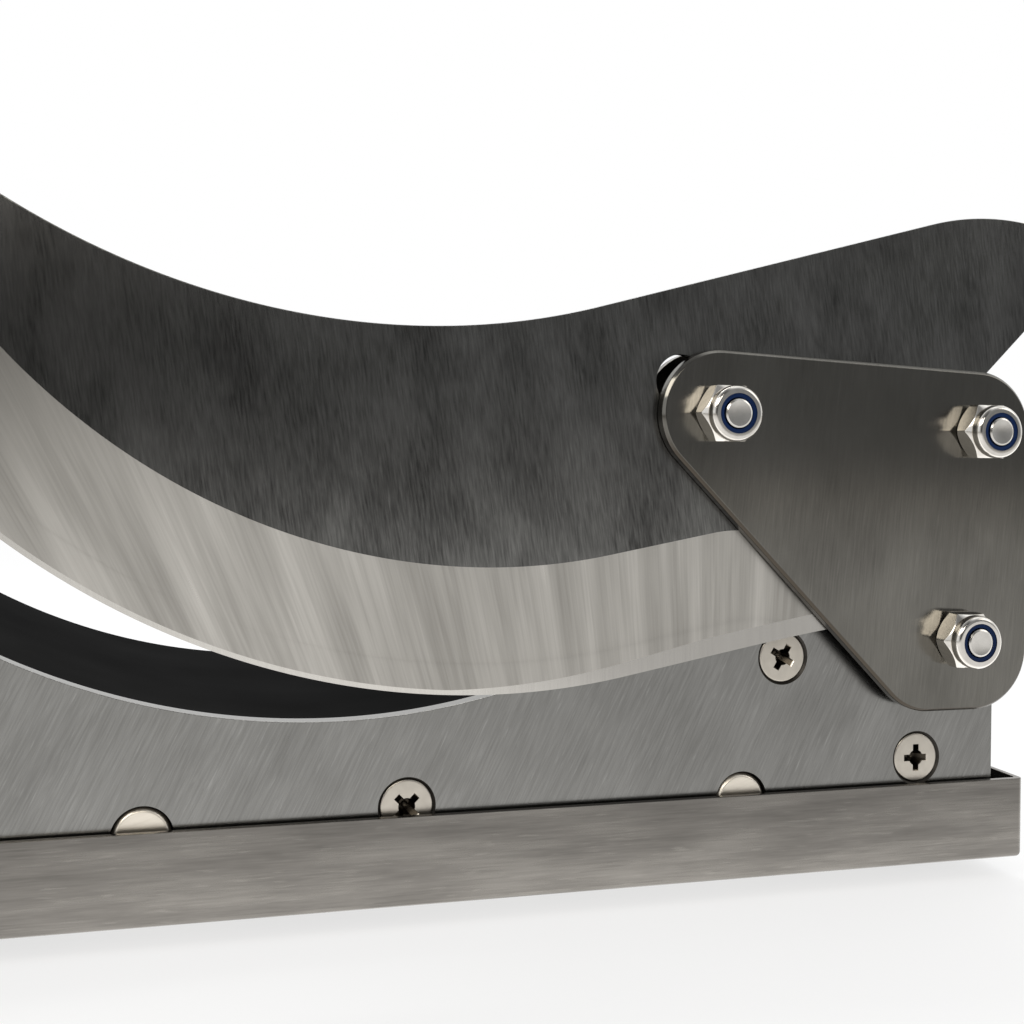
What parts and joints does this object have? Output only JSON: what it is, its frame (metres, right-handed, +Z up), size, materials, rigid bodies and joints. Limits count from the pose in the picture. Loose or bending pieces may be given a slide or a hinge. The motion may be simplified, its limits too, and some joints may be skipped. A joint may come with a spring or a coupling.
{
  "type": "biltong cutter",
  "caption": "Biltong cutter: a curved lever blade clamped between hinge plates swings down past a notched steel plate in a folded tray, with a plastic feed block behind.",
  "frame": {"origin": "middle of the flat underside of the tray", "axes": "+X along the tray towards the hinge, +Y from the blade's side towards the feed block, +Z up"},
  "size_m": [0.4286, 0.1126, 0.2608],
  "materials": {
    "tray_steel": "brushed along its length",
    "block_plastic": "machined black cutting-board plastic",
    "plate_steel": "brushed on a slant",
    "blade_steel": "brushed across, with a brighter ground bevel",
    "hinge_steel": "brushed across",
    "fastener_steel": "bright stainless",
    "insert_nylon": "dark blue nylon",
    "handle_plastic": "black moulded",
    "foot_rubber": "black moulded rubber"
  },
  "bodies": {
    "base": {"base_tray": "tray_steel", "feed_block": "block_plastic", "lower_plate": "plate_steel", "plate_screw_1": "fastener_steel", "plate_screw_2": "fastener_steel", "plate_screw_3": "fastener_steel", "plate_screw_4": "fastener_steel", "plate_screw_5": "fastener_steel", "locating_pin_1": "fastener_steel", "locating_pin_2": "fastener_steel", "foot_1": "foot_rubber", "foot_2": "foot_rubber", "foot_3": "foot_rubber", "foot_4": "foot_rubber", "foot_screw_1": "fastener_steel", "foot_screw_2": "fastener_steel", "foot_screw_3": "fastener_steel", "foot_screw_4": "fastener_steel"},
    "arm": {"blade": "blade_steel", "front_hinge_plate": "hinge_steel", "rear_hinge_plate": "hinge_steel", "clamp_bush_1": "fastener_steel", "clamp_bush_2": "fastener_steel", "pivot_spacer": "fastener_steel", "rear_washer_1": "fastener_steel", "rear_washer_2": "fastener_steel", "rear_washer_3": "fastener_steel", "pivot_bolt": "fastener_steel", "clamp_bolt_1": "fastener_steel", "clamp_bolt_2": "fastener_steel", "pivot_nut": "fastener_steel", "clamp_nut_1": "fastener_steel", "clamp_nut_2": "fastener_steel", "pivot_insert": "insert_nylon", "clamp_insert_1": "insert_nylon", "clamp_insert_2": "insert_nylon", "front_scale": "handle_plastic", "rear_scale": "handle_plastic", "handle_rivet_1": "fastener_steel", "handle_rivet_2": "fastener_steel", "handle_rivet_3": "fastener_steel"}
  },
  "joints": [
    {"name": "blade_hinge", "type": "hinge", "parent": "base", "child": "arm", "pos_m": [0.127, -0.0455, 0.0567], "axis": [0, 1, 0], "range_deg": [-8, 50]}
  ]
}
